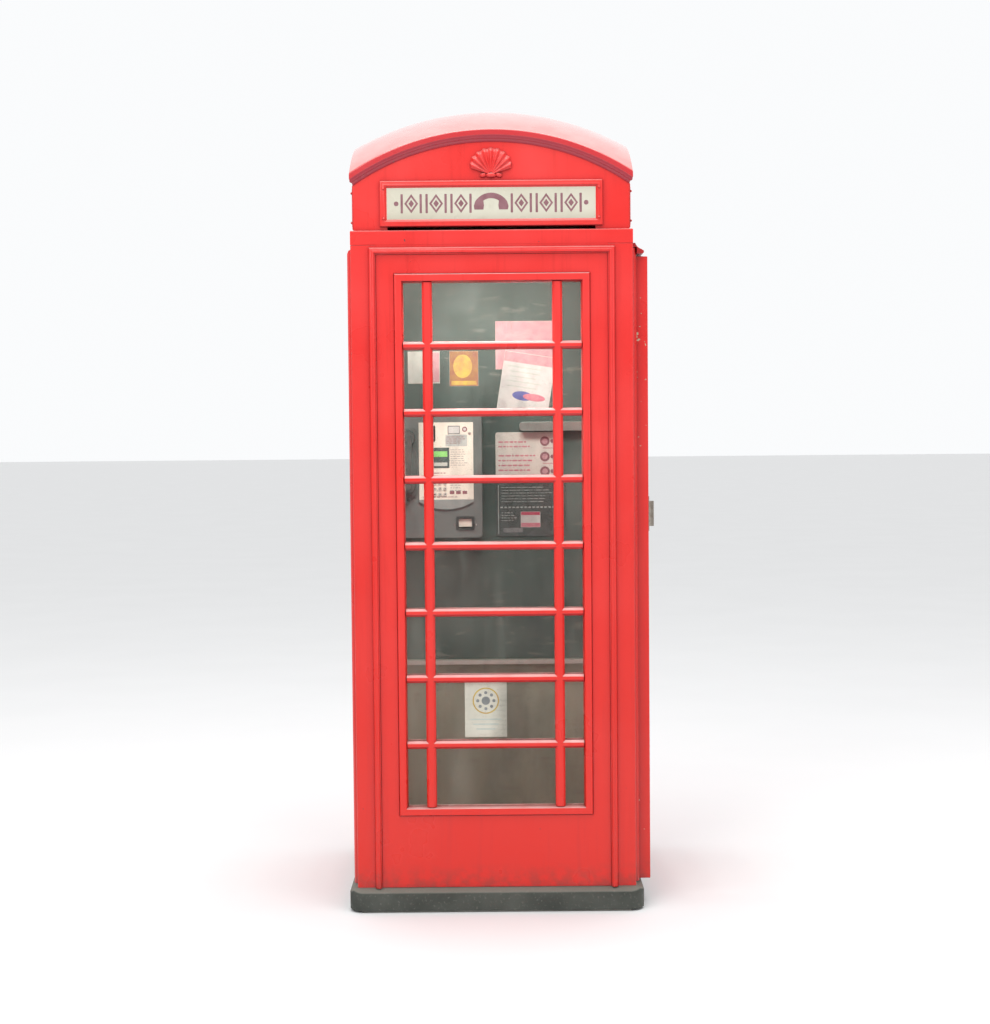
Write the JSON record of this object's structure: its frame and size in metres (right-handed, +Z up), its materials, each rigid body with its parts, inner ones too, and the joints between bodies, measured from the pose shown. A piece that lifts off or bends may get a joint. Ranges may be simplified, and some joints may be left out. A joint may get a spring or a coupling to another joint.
{
  "type": "telephone booth",
  "caption": "Cast-iron telephone booth with a domed roof, glazed sides, a hinged glazed door and a keypad payphone inside.",
  "frame": {"origin": "on the ground under the middle of the booth, on the underside of its packing bed", "axes": "+Z up; the fixed glazed front faces -Y; the door faces +X"},
  "size_m": [0.9579, 0.914, 2.515],
  "materials": {
    "cast_red": "gloss red enamel on cast iron, slightly weathered",
    "roof_red": "gloss red enamel on cast iron, sun-faded on the dome",
    "frame_red": "gloss red enamel on hardwood",
    "door_teak": "gloss red enamel on teak",
    "bar_red": "gloss red enamel, thick on the arrises",
    "plinth_black": "dark grey bitumen paint, dusty and chipped",
    "concrete": "rough concrete and mortar",
    "opal_glass": "cream opal glass",
    "pane_glass": "clear glass with a grey-green tint and dust",
    "ceiling_white": "satin off-white",
    "lamp_lens": "ribbed opal plastic",
    "board_grey": "matt dark grey-green paint on plywood",
    "ledge_metal": "dull brushed metal",
    "hood_dark": "gloss red enamel, grimy underneath",
    "stop_red": "gloss red enamel",
    "hinge_metal": "painted steel, bare at the pins",
    "phone_grey": "satin grey-green",
    "faceplate_cream": "satin cream with a printed panel",
    "lip_grey": "satin mid grey",
    "display_dark": "dark bezel with a green display",
    "black_metal": "satin black",
    "pocket_black": "moulded black plastic",
    "screw_steel": "bare steel",
    "cradle_black": "moulded dark grey plastic",
    "notice_pink": "pale pink printed plate",
    "info_dark": "dark printed plate",
    "shelf_metal": "dull satin metal",
    "card_paper": "printed card and paper",
    "handle_nickel": "worn nickel plate",
    "key_plastic": "moulded pale grey plastic",
    "flap_cream": "moulded cream plastic",
    "handset_black": "moulded black plastic"
  },
  "bodies": {
    "kiosk": {"packing_bed": "concrete", "plinth": "plinth_black", "floor_slab": "concrete", "post_front_left": "cast_red", "post_front_right": "cast_red", "post_rear_left": "cast_red", "post_rear_right": "cast_red", "head_frame": "cast_red", "roof": "roof_red", "sign_frames": "frame_red", "sign_glasses": "opal_glass", "roof_ornaments": "roof_red", "ceiling_panel": "ceiling_white", "ceiling_light": "ceiling_white", "ceiling_light_lens": "lamp_lens", "front_frame": "frame_red", "front_glazing_bars": "bar_red", "front_glass": "pane_glass", "left_frame": "frame_red", "left_glazing_bars": "bar_red", "left_glass": "pane_glass", "back_panel": "cast_red", "backboard": "board_grey", "backboard_ledge": "ledge_metal", "door_hood": "hood_dark", "door_stop": "stop_red", "hinge_frame_leaves": "hinge_metal", "frame_screws": "frame_red", "payphone_housing": "phone_grey", "payphone_faceplate": "faceplate_cream", "housing_lip": "lip_grey", "display_window": "display_dark", "coin_slot_plate": "black_metal", "coin_return_pocket": "pocket_black", "payphone_fixings": "screw_steel", "handset_cradle": "cradle_black", "notice_plate": "notice_pink", "info_panel": "info_dark", "parcel_shelf": "shelf_metal", "paper_notices": "card_paper"},
    "door": {"door_frame": "door_teak", "door_glazing_bars": "bar_red", "door_glass": "pane_glass", "door_handle": "handle_nickel", "hinge_door_leaves": "hinge_metal"},
    "coin_flap": {"coin_return_flap": "flap_cream"},
    "hook_plunger": {"hook_switch": "cradle_black"},
    "receiver": {"handset": "handset_black"},
    "button_1": {"key_1": "key_plastic"},
    "button_2": {"key_2": "key_plastic"},
    "button_3": {"key_3": "key_plastic"},
    "button_4": {"key_4": "key_plastic"},
    "button_5": {"key_5": "key_plastic"},
    "button_6": {"key_6": "key_plastic"},
    "button_7": {"key_7": "key_plastic"},
    "button_8": {"key_8": "key_plastic"},
    "button_9": {"key_9": "key_plastic"},
    "button_10": {"key_10": "key_plastic"},
    "button_11": {"key_11": "key_plastic"},
    "button_12": {"key_12": "key_plastic"}
  },
  "joints": [
    {"name": "door_swing", "type": "hinge", "parent": "kiosk", "child": "door", "pos_m": [0.443, 0.348, 1.049], "axis": [0, 0, 1], "range_deg": [-3.8, 86]},
    {"name": "coin_flap_swing", "type": "hinge", "parent": "kiosk", "child": "coin_flap", "pos_m": [-0.0985, 0.2147, 1.184], "axis": [1, 0, 0], "range_deg": [0, 50]},
    {"name": "hook_switch_push", "type": "slide", "parent": "kiosk", "child": "hook_plunger", "axis": [0, 1, 0], "range_m": [0, 0.003], "stiffness_N_per_m": 60, "springref_m": -0.002},
    {"name": "handset_lift", "type": "slide", "parent": "kiosk", "child": "receiver", "axis": [0, -1, 0], "range_m": [0, 0.12]},
    {"name": "key_1_push", "type": "slide", "parent": "kiosk", "child": "button_1", "axis": [0, 1, 0], "range_m": [0, 0.002], "stiffness_N_per_m": 100, "springref_m": -0.002},
    {"name": "key_2_push", "type": "slide", "parent": "kiosk", "child": "button_2", "axis": [0, 1, 0], "range_m": [0, 0.002], "stiffness_N_per_m": 100, "springref_m": -0.002},
    {"name": "key_3_push", "type": "slide", "parent": "kiosk", "child": "button_3", "axis": [0, 1, 0], "range_m": [0, 0.002], "stiffness_N_per_m": 100, "springref_m": -0.002},
    {"name": "key_4_push", "type": "slide", "parent": "kiosk", "child": "button_4", "axis": [0, 1, 0], "range_m": [0, 0.002], "stiffness_N_per_m": 100, "springref_m": -0.002},
    {"name": "key_5_push", "type": "slide", "parent": "kiosk", "child": "button_5", "axis": [0, 1, 0], "range_m": [0, 0.002], "stiffness_N_per_m": 100, "springref_m": -0.002},
    {"name": "key_6_push", "type": "slide", "parent": "kiosk", "child": "button_6", "axis": [0, 1, 0], "range_m": [0, 0.002], "stiffness_N_per_m": 100, "springref_m": -0.002},
    {"name": "key_7_push", "type": "slide", "parent": "kiosk", "child": "button_7", "axis": [0, 1, 0], "range_m": [0, 0.002], "stiffness_N_per_m": 100, "springref_m": -0.002},
    {"name": "key_8_push", "type": "slide", "parent": "kiosk", "child": "button_8", "axis": [0, 1, 0], "range_m": [0, 0.002], "stiffness_N_per_m": 100, "springref_m": -0.002},
    {"name": "key_9_push", "type": "slide", "parent": "kiosk", "child": "button_9", "axis": [0, 1, 0], "range_m": [0, 0.002], "stiffness_N_per_m": 100, "springref_m": -0.002},
    {"name": "key_10_push", "type": "slide", "parent": "kiosk", "child": "button_10", "axis": [0, 1, 0], "range_m": [0, 0.002], "stiffness_N_per_m": 100, "springref_m": -0.002},
    {"name": "key_11_push", "type": "slide", "parent": "kiosk", "child": "button_11", "axis": [0, 1, 0], "range_m": [0, 0.002], "stiffness_N_per_m": 100, "springref_m": -0.002},
    {"name": "key_12_push", "type": "slide", "parent": "kiosk", "child": "button_12", "axis": [0, 1, 0], "range_m": [0, 0.002], "stiffness_N_per_m": 100, "springref_m": -0.002}
  ]
}
